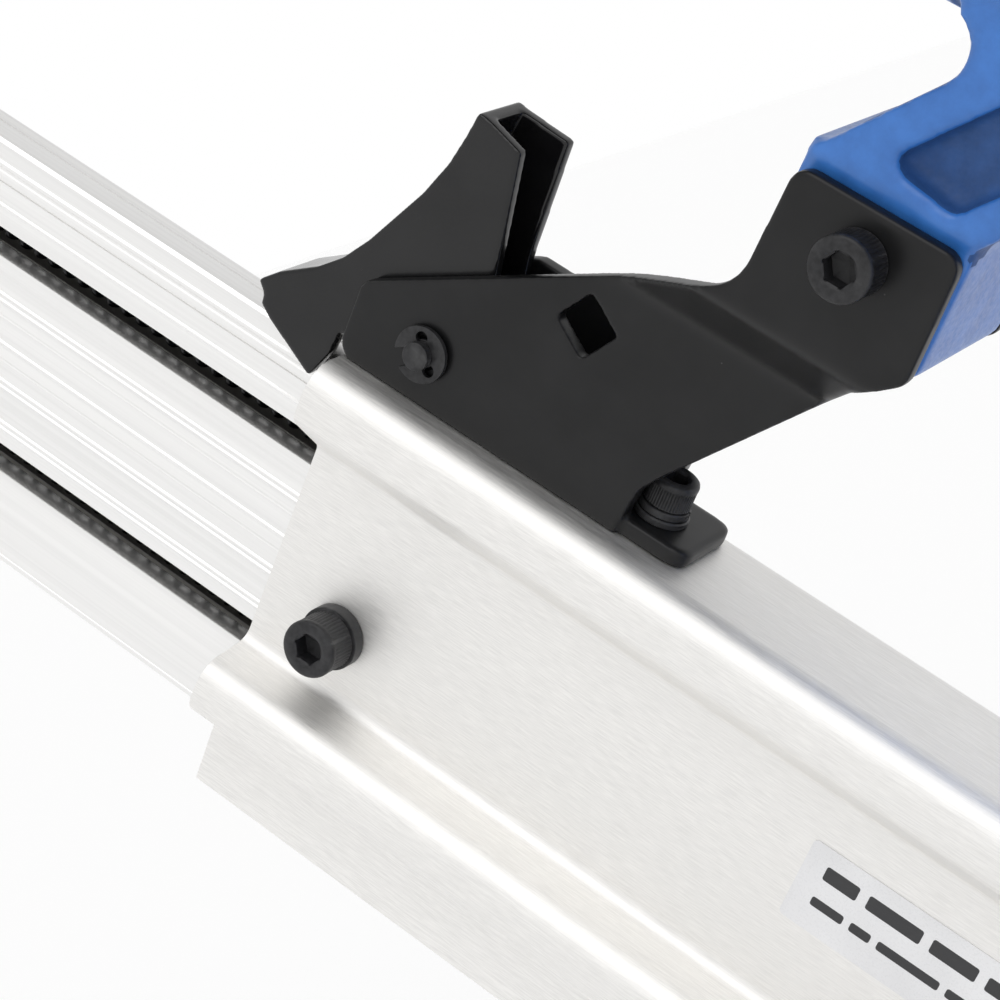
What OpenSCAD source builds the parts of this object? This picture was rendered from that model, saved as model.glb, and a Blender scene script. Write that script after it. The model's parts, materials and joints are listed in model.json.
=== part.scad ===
// Pneumatic flooring nailer: mallet-struck driver head, handle, and a magazine with a sliding rail.
// Everything above the shoe is drawn in the tool's own frame: x runs back along the magazine,
// y is lateral, z runs up the driver axis. tool() tilts that frame so that the shoe lies flat.

/* [Stance] */
// Angle between the magazine and the floor
tilt = 45; // [45]

/* [Magazine] */
// Rear edge of the fixed cover, measured from the driver axis
cover_rear = 218; // [205:1:230]
// Height of the cover's flat land above the staple exit
land_z = 89; // [89]
// Wall thickness of the cover
cover_t = 1.5; // [1.5]
// Length of the sliding rail
rail_len = 206; // [180:1:206]
// How far the rail is drawn out behind its closed position
rail_out = 100; // [60:1:100]
// Pitch line of the upper spring slot
upper_slot_z = 70; // [70]
// Pitch line of the lower spring slot
lower_slot_z = 38; // [38]
// Height of each spring slot
slot_h = 4.1; // [3.8:0.1:4.4]

/* [Latch bracket] */
// Plate thickness of the bracket
plate_t = 2.5; // [2:0.5:2.5]
// Half of the bracket's outside width at the magazine
bracket_half = 8; // [8]
// Half of the bracket's outside width at the handle leg
arm_half = 15.5; // [15.5]
// Lever pivot, distance behind the driver axis
pivot_x = 206.5; // [206:0.1:207]
// Lever pivot, height
pivot_z = 96.3; // [96:0.1:96.5]

/* [Driver head] */
// Outside radius of the barrel
barrel_r = 38; // [36:1:40]
// Bore radius of the cylinder sleeve
sleeve_bore_r = 25; // [25]
// Height of the barrel's top face
barrel_top = 236; // [236]
// Driver stroke
stroke = 79.5; // [70:0.5:79.5]

/* [Handle] */
// Height of the handle's centre line
handle_z = 191.5; // [191.5]
// Width of the handle casting
handle_w = 34; // [30:1:36]
// Height of the handle casting
handle_h = 39; // [36:1:40]
// Rear end of the handle casting
handle_rear = 322; // [300:1:330]
// Front end of the rubber grip
grip_front = 166; // [164:1:170]

/* [Shoe] */
// Length of the shoe behind the nose
shoe_len = 88; // [70:1:100]
// Width of the shoe
shoe_w = 84; // [70:1:96]
// Thickness of the base pad
pad_t = 4; // [3:0.5:5]
// Thickness of the shoe plate
shoe_t = 6; // [5:0.5:8]

/* [Hidden] */
$fn = 48;

// Lateral centre of the staple channel, which sits a little to the far side of the handle
lane_y = -2.2;
rail_half = 4.1;
rail_near = lane_y + rail_half;
rail_far = lane_y - rail_half;
rail_bottom = 22;
rail_top = 84.7;
rib_h = 0.3;
panel_y = 5;
skirt_z = 12.6;
cover_front = 14;
rail_front = 14.4 + rail_out;
rail_rear = rail_front + rail_len;
rail_cavity_d = 3.7;
lip_depth = 3.4;
cavity_mid_y = rail_near - lip_depth - rail_cavity_d / 2;
spring_r = 1.75;
rod_r = 0.8;
pusher_front = rail_front + 71;
pusher_len = 19;
slot_levels = [upper_slot_z, lower_slot_z];
end_screw_z = [28, 79.3];
staple_front = rail_front + 1;
staple_len = 69;
foot_front = 161.6;
foot_t = 2.5;
foot_screw_x = 169.3;
foot_screw_y = 1;
bolt_x = 155;
bolt_z = 142.2;
block_screw_x = 30;
far_screw_z = [60, 74];
near_screw_z = [49, 63];
cover_screw_x = 204.8;
cover_washer_t = 2.1;
cover_screw_z = 48.8;
square_x = 186.5;
square_z = 112.4;
square_side = 6.4;
block_near = 13;
piston_rest = 206;
piston_h = 15;
bumper_top = piston_rest - stroke - 0.5;
blade_tip = 86.6;
blade_w = 10.9;
blade_t = 1.4;
nose_near = 16;
nose_far = -20;
nose_screw_y = [-15, 9.2];
nose_screw_z = [48, 64];
cheek_screw_z = [24, 38];
flange_screw_y = 20.5;
flange_half = 26;
lane_half = 5.8;
head_half = 42;
cap_screw_pitch = 33;
deck_z = pad_t + shoe_t;
// The row's origin is the middle of the base pad's underside
base_x = 41.6;

// ---------- outlines ----------

function unit(v) = v / norm(v);
function side(a, b) = let (d = unit(b - a)) [-d[1], d[0]];
// Point i of an open path, moved t to its left along the mitre
function offset_point(p, i, t) =
    i == 0 ? p[0] + t * side(p[0], p[1])
    : i == len(p) - 1 ? p[i] + t * side(p[i - 1], p[i])
    : let (a = side(p[i - 1], p[i]), m = unit(a + side(p[i], p[i + 1]))) p[i] + m * (t / (m * a));
// Closed outline of a wall of thickness t that follows an open path
function wall(p, t) = concat(p, [for (i = [len(p) - 1:-1:0]) offset_point(p, i, t)]);
// Arc that rounds corner p between a and b
function corner(a, p, b, r, n) =
    r <= 0 ? [p]
    : let (u = unit(a - p), v = unit(b - p), half = acos(u * v) / 2,
        c = p + unit(u + v) * (r / sin(half)),
        s = p + u * (r / tan(half)) - c, e = p + v * (r / tan(half)) - c,
        a0 = atan2(s[1], s[0]), turn = ((atan2(e[1], e[0]) - a0 + 540) % 360) - 180)
        [for (k = [0:n]) c + r * [cos(a0 + turn * k / n), sin(a0 + turn * k / n)]];
// Path or outline from [x, y, corner radius] rows
function rounded(q, n = 5) = [for (i = [0:len(q) - 1]) let (l = len(q))
    each corner([q[(i + l - 1) % l][0], q[(i + l - 1) % l][1]], [q[i][0], q[i][1]],
        [q[(i + 1) % l][0], q[(i + 1) % l][1]], q[i][2], n)];
function box_outline(w, h, r) = rounded([[-w / 2, -h / 2, r], [w / 2, -h / 2, r],
    [w / 2, h / 2, r], [-w / 2, h / 2, r]], 8);

// ---------- placing ----------

module level() { translate([-base_x, 0, 0]) children(); }
module tool() { level() rotate([0, -tilt, 0]) children(); }
module slab(x, y, z) { translate([x[0], y[0], z[0]]) cube([x[1] - x[0], y[1] - y[0], z[1] - z[0]]); }
// Outline in (x, z), extruded across y
module across(outline, y) {
    translate([0, y[1], 0]) rotate([90, 0, 0]) linear_extrude(y[1] - y[0]) polygon(outline);
}
// Outline in (y, z), extruded along x
module along(outline, x) {
    translate([x[0], 0, 0]) rotate([90, 0, 90]) linear_extrude(x[1] - x[0]) polygon(outline);
}
// Outline in (x, y), extruded up z
module upright(outline, z) { translate([0, 0, z[0]]) linear_extrude(z[1] - z[0]) polygon(outline); }
module rod(p, r, l, axis = [0, 0, 0]) { translate(p) rotate(axis) cylinder(r = r, h = l); }
// Turns that point a part's own +z along a tool axis
to_near = [-90, 0, 0];
to_far = [90, 0, 0];
to_rear = [0, 90, 0];
to_front = [0, -90, 0];
down = [180, 0, 0];

module tube(r_out, r_in, z) {
    translate([0, 0, z[0]]) difference() {
        cylinder(r = r_out, h = z[1] - z[0]);
        translate([0, 0, -1]) cylinder(r = r_in, h = z[1] - z[0] + 2);
    }
}

// Socket head screw: the head stands on z = 0 and the shank hangs below it
module cap_screw(d, l, head_h) {
    difference() {
        union() {
            cylinder(r = 0.85 * d, h = head_h);
            translate([0, 0, -l]) cylinder(r = 0.49 * d, h = l + 0.1);
        }
        translate([0, 0, head_h - 0.55 * d]) cylinder(r = 0.46 * d, h = d, $fn = 6);
    }
}

module flat_washer(r_out, r_in, t) {
    difference() {
        cylinder(r = r_out, h = t);
        translate([0, 0, -1]) cylinder(r = r_in, h = t + 2);
    }
}

// ---------- driver head ----------

// Rear face line of the leg, from the arm's top corner up into the throat
leg_dir = [-0.618, 0.786];
leg_foot = [167.3, 150.1];
throat_r = 4.9;

throat = [158.7, 169];
// Side view of the leg: rear face, throat arc, then the contour that flares forward under the handle
leg_outline = concat([leg_foot], [for (a = [218.2:-12:110]) throat + throat_r * [cos(a), sin(a)]],
    [[158, 180], [84, 180], [84, 176], [104, 171], [120, 167], [131.5, 161.8], [138.5, 156], [143, 150]]);

module leg() {
    difference() {
        union() {
            across(leg_outline, [-14, 14]);
            // block between the bracket arms
            across(rounded([[143, 131, 2], [167.3, 131, 2], [167.3, 152, 0], [143, 152, 0]]),
                [-block_near, block_near]);
        }
        for (y = [[10, 15], [-15, -10]]) across(pocket_outline, y);
        rod([bolt_x, 20, bolt_z], 2.6, 40, to_far);
    }
}

pocket_outline = let (a = [157.6, 154], b = [147.2, 152.4])
    rounded([[a[0], a[1], 1.5], [b[0], b[1], 1.5],
        [b[0] + 24 * leg_dir[0], b[1] + 24 * leg_dir[1], 4],
        [a[0] + 24 * leg_dir[0], a[1] + 24 * leg_dir[1], 4]]);

module housing() {
    color("royalblue") tool() difference() {
        union() {
            translate([0, 0, 100]) cylinder(r = barrel_r, h = barrel_top - 104, $fn = 96);
            // bottom flange that the nose bolts to
            upright(box_outline(64, 2 * flange_half, 8), [92, 104]);
            // head flange
            upright(box_outline(2 * head_half, 2 * head_half, 12), [226, barrel_top]);
            for (x = [-1, 1], y = [-1, 1])
                rod([x * cap_screw_pitch, y * cap_screw_pitch, 196], 6, 34);
            for (a = [45:90:315])
                rotate([0, 0, a]) slab([34, cap_screw_pitch * sqrt(2)], [-4.5, 4.5], [198, 230]);
            // handle
            translate([0, 0, handle_z]) along(box_outline(handle_w, handle_h, 13), [25, grip_front]);
            translate([0, 0, handle_z]) along(box_outline(handle_w - 6, handle_h - 6, 12),
                [grip_front - 1, handle_rear]);
            // cast web between the handle and the barrel
            across([[30, 150], [60, 172], [60, 180], [30, 180]], [-9, 9]);
            leg();
        }
        // barrel bore, floor hole for the blade, and the handle's air passage
        translate([0, 0, 112]) cylinder(r = 28.1, h = 130);
        slab([-1.2, 1.2], [lane_y - 6.5, lane_y + 6.5], [80, 120]);
        rod([20, 0, handle_z], 9, 320, to_rear);
        for (x = [-1, 1], y = [-1, 1]) {
            rod([x * cap_screw_pitch, y * cap_screw_pitch, 214], 3, 30);
            rod([x * 20, y * flange_screw_y, 85], 2.5, 17);
        }
    }
}

module cylinder_sleeve() {
    color("silver") tool() tube(28, sleeve_bore_r, [112, 222]);
}

module bumper() {
    color("dimgray") tool() difference() {
        union() {
            rod([0, 0, 112], 24.6, 9);
            rod([0, 0, 120], 20, bumper_top - 120);
        }
        slab([-5.5, 5.5], [lane_y - 7, lane_y + 7], [110, 130]);
    }
}

module piston() {
    color("gainsboro") tool() difference() {
        union() {
            rod([0, 0, piston_rest], sleeve_bore_r - 0.06, piston_h);
            slab([-5, 5], [lane_y - 6.5, lane_y + 6.5], [piston_rest - 9, piston_rest + 1]);
        }
        tube(sleeve_bore_r + 1, 22.4, [piston_rest + 5, piston_rest + 9]);
        slab([-0.71, 0.71], [lane_y - blade_w / 2 - 0.02, lane_y + blade_w / 2 + 0.02],
            [piston_rest - 12, piston_rest + 3]);
        rod([0, 0, piston_rest + 10], 16, 6);
    }
}

module piston_ring() {
    color("black") tool() tube(sleeve_bore_r - 0.06, 22.45, [piston_rest + 5.1, piston_rest + 8.9]);
}

module driver_blade() {
    color("slategray") tool()
        slab([-blade_t / 2, blade_t / 2], [lane_y - blade_w / 2, lane_y + blade_w / 2],
            [blade_tip, piston_rest + 2.9]);
}

module main_valve() {
    color("gray") tool() difference() {
        union() {
            rod([0, 0, 223.2], 26, 5);
            rod([0, 0, 228], 15, 7);
        }
        rod([0, 0, 231], 11, 6);
    }
}

module head_gasket() {
    color("darkslategray") tool() difference() {
        upright(box_outline(2 * head_half - 1, 2 * head_half - 1, 11.5), [barrel_top, barrel_top + 1.5]);
        rod([0, 0, barrel_top - 1], 28.1, 5);
        for (x = [-1, 1], y = [-1, 1])
            rod([x * cap_screw_pitch, y * cap_screw_pitch, barrel_top - 1], 3.2, 5);
    }
}

module head_cap() {
    z0 = barrel_top + 1.5;
    color("dimgray") tool() difference() {
        union() {
            upright(box_outline(2 * head_half, 2 * head_half, 12), [z0, z0 + 12]);
            translate([0, 0, z0 + 12]) cylinder(r1 = 38, r2 = 31, h = 12, $fn = 96);
            rod([0, 0, z0 + 24], 24, 12.5);
        }
        rod([0, 0, z0 - 1], 22, 7);
        rod([0, 0, z0], 10, 50);
        for (x = [-1, 1], y = [-1, 1]) {
            rod([x * cap_screw_pitch, y * cap_screw_pitch, z0 - 1], 3.2, 30);
            rod([x * cap_screw_pitch, y * cap_screw_pitch, z0 + 9], 6, 30);
        }
        // exhaust ports under the deflector
        for (a = [0:45:315]) rotate([0, 0, a]) rod([12, 0, z0 + 30], 2, 20, to_rear);
    }
}

module head_cap_screws() {
    color("black") tool() for (x = [-1, 1], y = [-1, 1])
        translate([x * cap_screw_pitch, y * cap_screw_pitch, barrel_top + 10.5]) cap_screw(6, 26, 6);
}

module exhaust_deflector() {
    z0 = barrel_top + 26;
    color("black") tool() difference() {
        rod([0, 0, z0], 31, 9);
        rod([0, 0, z0 - 1], 24.4, 12);
        // one open side turns the exhaust away from the user
        translate([0, 0, z0 + 2]) rotate([0, 0, 115]) slab([0, 40], [-9, 9], [0, 5]);
    }
}

// The stem lies on the driver axis, so the mallet blow reaches the firing valve
module strike_stem() {
    color("gainsboro") tool() union() {
        rod([0, 0, 246], 9.93, 42);
        rod([0, 0, 243], 6, 4);
    }
}

module strike_cap() {
    color("black") tool() difference() {
        union() {
            rod([0, 0, 284], 33, 16);
            translate([0, 0, 300]) cylinder(r1 = 33, r2 = 30, h = 3);
        }
        rod([0, 0, 283], 26, 3.5);
        rod([0, 0, 280], 9.95, 8);
        rod([0, 0, 298], 24, 8);
    }
}

module strike_anvil() {
    color("goldenrod") tool() union() {
        rod([0, 0, 298], 23.9, 7);
        translate([0, 0, 305]) cylinder(r1 = 23.9, r2 = 21, h = 2.5);
    }
}

module strike_spring() {
    color("silver") tool() tube(15, 11.2, [274.2, 286.4]);
}

// ---------- nose ----------

// Keeps what lies above a level plane at height h
module above(h) {
    difference() {
        children();
        translate([-300, -100, h - 200]) cube([600, 200, 200]);
    }
}

module nose_front_plate() {
    color("darkgray") above(1.2) tool() difference() {
        union() {
            across(rounded([[-13, -30, 0], [-0.85, -30, 0], [-0.85, 92, 0], [-13, 92, 2]]),
                [nose_far, nose_near]);
            slab([-26, -0.85], [-flange_half, flange_half], [82, 92]);
        }
        // thinned tip that reaches into the tongue
        across([[-40, -40], [-7, -40], [-7, 26], [-14, 33], [-40, 33]], [-40, 40]);
        // blade lane
        slab([-1.3, 0], [lane_y - lane_half, lane_y + lane_half], [-30, 100]);
        for (y = nose_screw_y, z = nose_screw_z) rod([-20, y, z], 2.6, 30, to_rear);
        for (y = [-1, 1]) rod([-20, y * flange_screw_y, 80], 2.7, 20);
    }
}

module nose_back_plate() {
    color("gray") above(deck_z) tool() difference() {
        union() {
            across(rounded([[0.85, -20, 0], [13.8, -20, 0], [13.8, 92, 0], [0.85, 92, 0]]),
                [nose_far, nose_near]);
            slab([0.85, 28], [-flange_half, flange_half], [89.5, 92]);
        }
        // lane for the staples, from the rail to the blade
        slab([0, 20], [lane_y - lane_half, lane_y + lane_half], [rail_bottom + 6, 87.5]);
        slab([0, 1.6], [lane_y - lane_half, lane_y + lane_half], [-40, 100]);
        for (y = nose_screw_y, z = nose_screw_z) rod([-20, y, z], 2.5, 40, to_rear);
        for (y = [nose_near + 1, nose_far + 9], z = cheek_screw_z) rod([7.3, y, z], 2.5, 10, to_far);
        for (y = [-1, 1]) rod([20, y * flange_screw_y, 80], 2.7, 20);
    }
}

module nose_screws() {
    color("black") tool() for (y = nose_screw_y, z = nose_screw_z)
        translate([-13, y, z]) rotate(to_front) cap_screw(5, 36, 5);
}

module flange_screws() {
    color("black") tool() {
        for (y = [-1, 1]) translate([-20, y * flange_screw_y, 82]) rotate(down) cap_screw(5, 18, 5);
        for (y = [-1, 1]) translate([20, y * flange_screw_y, 89.5]) rotate(down) cap_screw(5, 11, 5);
    }
}

// ---------- shoe, drawn level ----------

// Keeps what lies behind the staple lane
module behind_lane() {
    difference() {
        children();
        rotate([0, -tilt, 0]) slab([-200, 0.85], [-100, 100], [-100, 100]);
    }
}

shoe_y = lane_y - shoe_w / 2;
shoe_screw_spots = [for (x = [34, 70], y = [-30, 26]) [x, y]];

module shoe() {
    color("silver") level() behind_lane() difference() {
        union() {
            translate([0, 0, pad_t]) linear_extrude(shoe_t) polygon(rounded([
                [-14, shoe_y, 0], [shoe_len - 8, shoe_y, 12], [shoe_len - 8, shoe_y + shoe_w, 12],
                [-14, shoe_y + shoe_w, 0]]));
            // cheeks that hold the nose plates
            for (y = [[nose_near, nose_near + 5], [nose_far - 5, nose_far]])
                across(rounded([[-20, deck_z - 1, 0], [44, deck_z - 1, 4], [-8, deck_z + 42, 6],
                    [-32, deck_z + 30, 0]]), y);
        }
        for (p = shoe_screw_spots) rod([p[0], p[1], 0], 2.6, 30);
        rotate([0, -tilt, 0]) for (z = cheek_screw_z) rod([7.3, 30, z], 2.6, 60, to_far);
    }
}

// Screws through both cheeks into the nose's back plate
module cheek_screws() {
    color("black") tool() for (z = cheek_screw_z) {
        translate([7.3, nose_near + 5, z]) rotate(to_near) cap_screw(5, 13, 5);
        translate([7.3, nose_far - 5, z]) rotate(to_far) cap_screw(5, 13, 5);
    }
}

module base_pad() {
    color("black") level() behind_lane() difference() {
        linear_extrude(pad_t) polygon(rounded([
            [-14, shoe_y - 2, 0], [shoe_len - 6, shoe_y - 2, 13],
            [shoe_len - 6, shoe_y + shoe_w + 2, 13], [-14, shoe_y + shoe_w + 2, 0]]));
        for (p = shoe_screw_spots) rod([p[0], p[1], 1], 2.5, 30);
    }
}

module shoe_screws() {
    color("black") level() for (p = shoe_screw_spots) translate([p[0], p[1], deck_z]) cap_screw(5, 8, 5);
}

// ---------- magazine ----------

// The cover's outer skin in (y, z), from its floor lip round the far side to the near skirt
cover_path = rounded([[2.5, 18.6, 0], [-9.4, 18.6, 1.6], [-9.4, land_z, 2.6], [15, land_z, 4.6],
    [15, 80.4, 3.2], [panel_y, 73.2, 1.6], [panel_y, 39.4, 2.2], [15, 37.9, 4.2],
    [15, 30.6, 3.2], [panel_y, 24, 1.6], [4.4, skirt_z, 0]], 8);

module magazine_cover() {
    color("gainsboro") tool() difference() {
        along(wall(cover_path, -cover_t), [cover_front, cover_rear]);
        rod([foot_screw_x, foot_screw_y, land_z - 5], 2.2, 10);
        rod([cover_screw_x, 0, cover_screw_z], 2.5, 10, to_near);
        for (z = far_screw_z) rod([block_screw_x, -20, z], 2.1, 15, to_near);
        for (z = near_screw_z) rod([block_screw_x, 0, z], 2.1, 10, to_near);
    }
}

// Blocks on both sides that carry the cover's front end from the nose plates
module magazine_blocks() {
    color("dimgray") tool() difference() {
        union() {
            slab([13.8, 38], [-20, -9.4], [28, 82]);
            slab([13.8, 36], [panel_y, 13.4], [42.5, 69.5]);
        }
        for (z = far_screw_z) rod([block_screw_x, -25, z], 2.1, 20, to_near);
        for (z = near_screw_z) rod([block_screw_x, 4, z], 2.1, 20, to_near);
        for (y = nose_screw_y, z = nose_screw_z) rod([10, y, z], 2.5, 15, to_rear);
    }
}

module block_screws() {
    color("black") tool() {
        for (z = far_screw_z)
            translate([block_screw_x, -20, z]) rotate(to_far) cap_screw(4, 11.9, 4);
        for (z = near_screw_z)
            translate([block_screw_x, 13.4, z]) rotate(to_near) cap_screw(4, 9.7, 4);
    }
}

module nut_plate() {
    color("gray") tool() difference() {
        slab([158, 184], [-6, 6], [86.3, land_z - cover_t]);
        rod([foot_screw_x, foot_screw_y, 80], 2, 12);
    }
}

module rail_guide() {
    color("white") tool() slab([cover_front + 1, cover_rear - 2], [rail_far, rail_near], [20.1, 21.7]);
}

module cover_screw() {
    color("black") tool() translate([cover_screw_x, panel_y + cover_washer_t, cover_screw_z])
        rotate(to_near) cap_screw(5, 3.5, 5.2);
}

module cover_washer() {
    color("black") tool() translate([cover_screw_x, panel_y, cover_screw_z])
        rotate(to_near) flat_washer(4.7, 2.55, cover_washer_t);
}

module label() {
    color("white") tool() slab([80, 130.2], [panel_y, panel_y + 0.12], [53.1, 65.9]);
}

// Heights of the fine ribs on the rail's sides
rib_levels = [75.3, 61.4, 62.6, 55.3, 48.7, 49.9, 42.6, 43.6, 79.3, 81.2];

module rail() {
    color("gainsboro") tool() difference() {
        union() {
            slab([rail_front, rail_rear], [rail_far, rail_near], [rail_bottom, rail_top]);
            for (z = rib_levels) slab([rail_front, rail_rear],
                [rail_far - rib_h, rail_near + rib_h], [z - 0.25, z + 0.25]);
        }
        for (z = slot_levels) {
            slab([rail_front - 1, rail_rear + 1],
                [rail_near - lip_depth - rail_cavity_d, rail_near - lip_depth], [z - 4.5, z + 5.5]);
            slab([rail_front - 1, rail_rear + 1], [rail_near - lip_depth - 1, rail_near + 1],
                [z - slot_h / 2, z + slot_h / 2]);
        }
        // hollow core, and a fine score along the top
        slab([rail_front - 1, rail_rear + 1], [rail_far + 1.5, rail_near - 1.5], [46.5, 62]);
        slab([rail_front - 1, rail_rear + 1], [lane_y - 0.9, lane_y - 0.4], [rail_top - 0.6, rail_top + 1]);
        for (z = end_screw_z) rod([rail_rear - 8, lane_y, z], 1.5, 9, to_rear);
    }
}

module rail_end_cap() {
    color("black") tool() difference() {
        union() {
            across(rounded([[rail_rear, rail_bottom, 1], [rail_rear + 9, rail_bottom, 3],
                [rail_rear + 12, 50, 8], [rail_rear + 9, rail_top, 3], [rail_rear, rail_top, 1]]),
                [rail_far, rail_near]);
            // lug that the lever's hook drops behind
            slab([rail_rear, rail_rear + 1.2], [rail_near - 1, 5.5], [76, 81.3]);
            // finger pull below
            across(rounded([[rail_rear + 1, 6, 3], [rail_rear + 8, 6, 3], [rail_rear + 9, 24, 0],
                [rail_rear, 24, 0]]), [rail_far, rail_near]);
        }
        for (z = slot_levels) rod([rail_rear - 1, cavity_mid_y, z], rod_r, 6, to_rear);
        for (z = end_screw_z) rod([rail_rear - 1, lane_y, z], 1.5, 20, to_rear);
        for (z = end_screw_z) rod([rail_rear + 7, lane_y, z], 2.9, 20, to_rear);
    }
}

module end_cap_screws() {
    color("silver") tool() for (z = end_screw_z)
        translate([rail_rear + 7, lane_y, z]) rotate(to_rear) cap_screw(3, 14.9, 2);
}

module guide_rods() {
    color("silver") tool() for (z = slot_levels)
        rod([rail_front + 4, cavity_mid_y, z], rod_r - 0.05, rail_len, to_rear);
}

module spring_at(z) {
    color("dimgray") tool() difference() {
        rod([pusher_front + pusher_len, cavity_mid_y, z], spring_r,
            rail_rear - pusher_front - pusher_len, to_rear);
        rod([pusher_front, cavity_mid_y, z], 1, rail_len, to_rear);
    }
}

module upper_spring() { spring_at(upper_slot_z); }
module lower_spring() { spring_at(lower_slot_z); }

module pusher() {
    x = [pusher_front, pusher_front + pusher_len - 0.3];
    near = [rail_near + rib_h + 0.3, rail_near + rib_h + 0.9];
    color("steelblue") tool() difference() {
        union() {
            slab(x, near, [30, 81.2]);
            for (z = slot_levels) {
                slab(x, [cavity_mid_y, near[1]], [z - slot_h / 2 + 0.35, z + slot_h / 2 - 0.35]);
                slab(x, [cavity_mid_y - 1.5, rail_near - lip_depth - 0.35], [z - 1.7, z + 1.7]);
            }
        }
        for (z = slot_levels) rod([pusher_front - 1, cavity_mid_y, z], rod_r, 30, to_rear);
    }
}

module staple_strip() {
    x = [staple_front, staple_front + staple_len];
    leg_t = 1;
    color("silver") tool() {
        for (y = [rail_near + rib_h, rail_far - rib_h - leg_t]) slab(x, [y, y + leg_t], [35, 85.8]);
        slab(x, [rail_far - rib_h - leg_t, rail_near + rib_h + leg_t], [rail_top + 0.05, 85.8]);
    }
}

// ---------- latch bracket ----------

bracket_outline = rounded([[218.9, land_z, 2.5], [218.9, 100.4, 2], [177, 125.9, 0], [167.6, 131.4, 7],
    [166.8, 149, 2.5], [143.3, 149, 2.5], [143.1, 131.6, 2.5], [149.5, 126.2, 0], [169, 99.6, 5],
    [171, 96.4, 3], [171.9, land_z, 0]]);
// The far plate is cut lower between its pivot ear and its arm
far_outline = rounded([[218.9, land_z, 2.5], [218.9, 100.4, 2], [202.3, 110.5, 3], [197.3, 110.4, 3],
    [177, 120.4, 4], [167.6, 127.5, 5], [166.8, 149, 2.5], [143.3, 149, 2.5], [143.1, 131.6, 2.5],
    [149.5, 126.2, 0], [169, 99.6, 5], [171, 96.4, 3], [171.9, land_z, 0]]);
joggle = [120.8, 128.6];

module arm_plate(outline) {
    intersection() {
        across(outline, [2, 20]);
        along(wall(rounded([[bracket_half, 80, 0], [bracket_half, joggle[0], 4],
            [arm_half, joggle[1], 4], [arm_half, 160, 0]]), plate_t), [130, 230]);
    }
}

module bracket() {
    color("#2a2a2b") tool() difference() {
        union() {
            arm_plate(bracket_outline);
            mirror([0, 1, 0]) arm_plate(far_outline);
            upright(rounded([[foot_front, -7.2, 2.5], [174, -7.2, 0], [174, 7.2, 0], [foot_front, 7.2, 2.5]]),
                [land_z, land_z + foot_t]);
            slab([172, 194], [-bracket_half + 1, bracket_half - 1], [land_z, land_z + foot_t]);
        }
        rod([foot_screw_x, foot_screw_y, 80], 2.2, 20);
        rod([bolt_x, 30, bolt_z], 2.7, 60, to_far);
        rod([pivot_x, 30, pivot_z], 2.05, 60, to_far);
        // square hole in the near plate, turned in line with its lower edge
        translate([square_x, bracket_half, square_z]) rotate([0, -32, 0])
            cube([square_side, 10, square_side], center = true);
    }
}

module foot_screw() {
    color("black") tool() translate([foot_screw_x, foot_screw_y, land_z + foot_t + 2.2])
        cap_screw(4, 7.5, 4);
}

module foot_washers() {
    color("black") tool() translate([foot_screw_x, foot_screw_y, land_z + foot_t]) {
        flat_washer(3.9, 2.1, 1);
        translate([0, 0, 1.05]) flat_washer(3.6, 2.1, 1.15);
    }
}

module handle_bolt() {
    color("black") tool() translate([bolt_x, arm_half, bolt_z]) rotate(to_near) cap_screw(5, 36.5, 5);
}

module handle_nut() {
    color("black") tool() translate([bolt_x, -arm_half, bolt_z]) rotate(to_far) difference() {
        union() {
            cylinder(r = 4.62, h = 4, $fn = 6);
            cylinder(r = 3.7, h = 5);
        }
        translate([0, 0, -1]) cylinder(r = 2.5, h = 9);
    }
}

lever_half = 5.2;
lever_t = 2;
// Thumb face of the lever, from its tip up the concave sweep to its top
thumb_face = [[234.1, 88.9], [231.6, 91.5], [226.3, 95.4], [222.9, 98.9], [219.9, 103.6], [217.1, 109.2],
    [214.7, 114], [212.6, 119.8], [211.6, 124.6], [211, 128.7]];
lever_hook = [[202.4, 111], [200.4, 100], [200.6, 92.6], [212, 90.4], [220.8, 90.4], [221, 87],
    [223.2, 81.7], [232, 86], [233.9, 87.3]];
lever_plain = [[202.4, 111], [200.4, 100], [200.6, 92.6], [212, 90.4], [221, 90.4], [222.5, 87.2],
    [232, 86.9], [233.9, 87.6]];
lever_top = [205.3, 127.1];
lever_far_top = [203.2, 128.2];

module latch_lever() {
    color("#2a2a2b") tool() difference() {
        union() {
            across(concat(thumb_face, [lever_top], lever_hook), [lever_half - lever_t, lever_half]);
            across(concat(thumb_face, [lever_far_top], lever_plain), [-lever_half, lever_t - lever_half]);
            across(wall(thumb_face, -lever_t), [-lever_half, lever_half]);
        }
        rod([pivot_x, 30, pivot_z], 2.08, 60, to_far);
    }
}

module latch_pin() {
    half = bracket_half + 2.4;
    color("#3a3a3c") tool() difference() {
        rod([pivot_x, half, pivot_z], 2, 2 * half, to_far);
        for (s = [-1, 1]) translate([pivot_x, s * (bracket_half + 0.75), pivot_z]) rotate(to_near)
            translate([0, 0, -0.4]) difference() {
                cylinder(r = 3, h = 0.8);
                translate([0, 0, -1]) cylinder(r = 1.6, h = 3);
            }
    }
}

module e_clips() {
    color("#303030") tool() for (s = [-1, 1])
        translate([pivot_x, s * (bracket_half + 0.75), pivot_z]) rotate([90, 35, 0])
            translate([0, 0, -0.35]) difference() {
                cylinder(r = 4, h = 0.7);
                translate([0, 0, -1]) cylinder(r = 1.65, h = 3);
                translate([0, -1.3, -1]) cube([6, 2.6, 3]);
                for (a = [110, 250]) rotate([0, 0, a]) translate([2.4, 0, -1]) cylinder(r = 0.9, h = 3);
            }
}

// Torsion spring round the pin, between the lever's cheeks
module latch_spring() {
    color("silver") tool() union() {
        translate([pivot_x, 2.3, pivot_z]) rotate(to_far) tube(3.1, 2.25, [0, 4.6]);
    }
}

// ---------- handle fittings ----------

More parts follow.
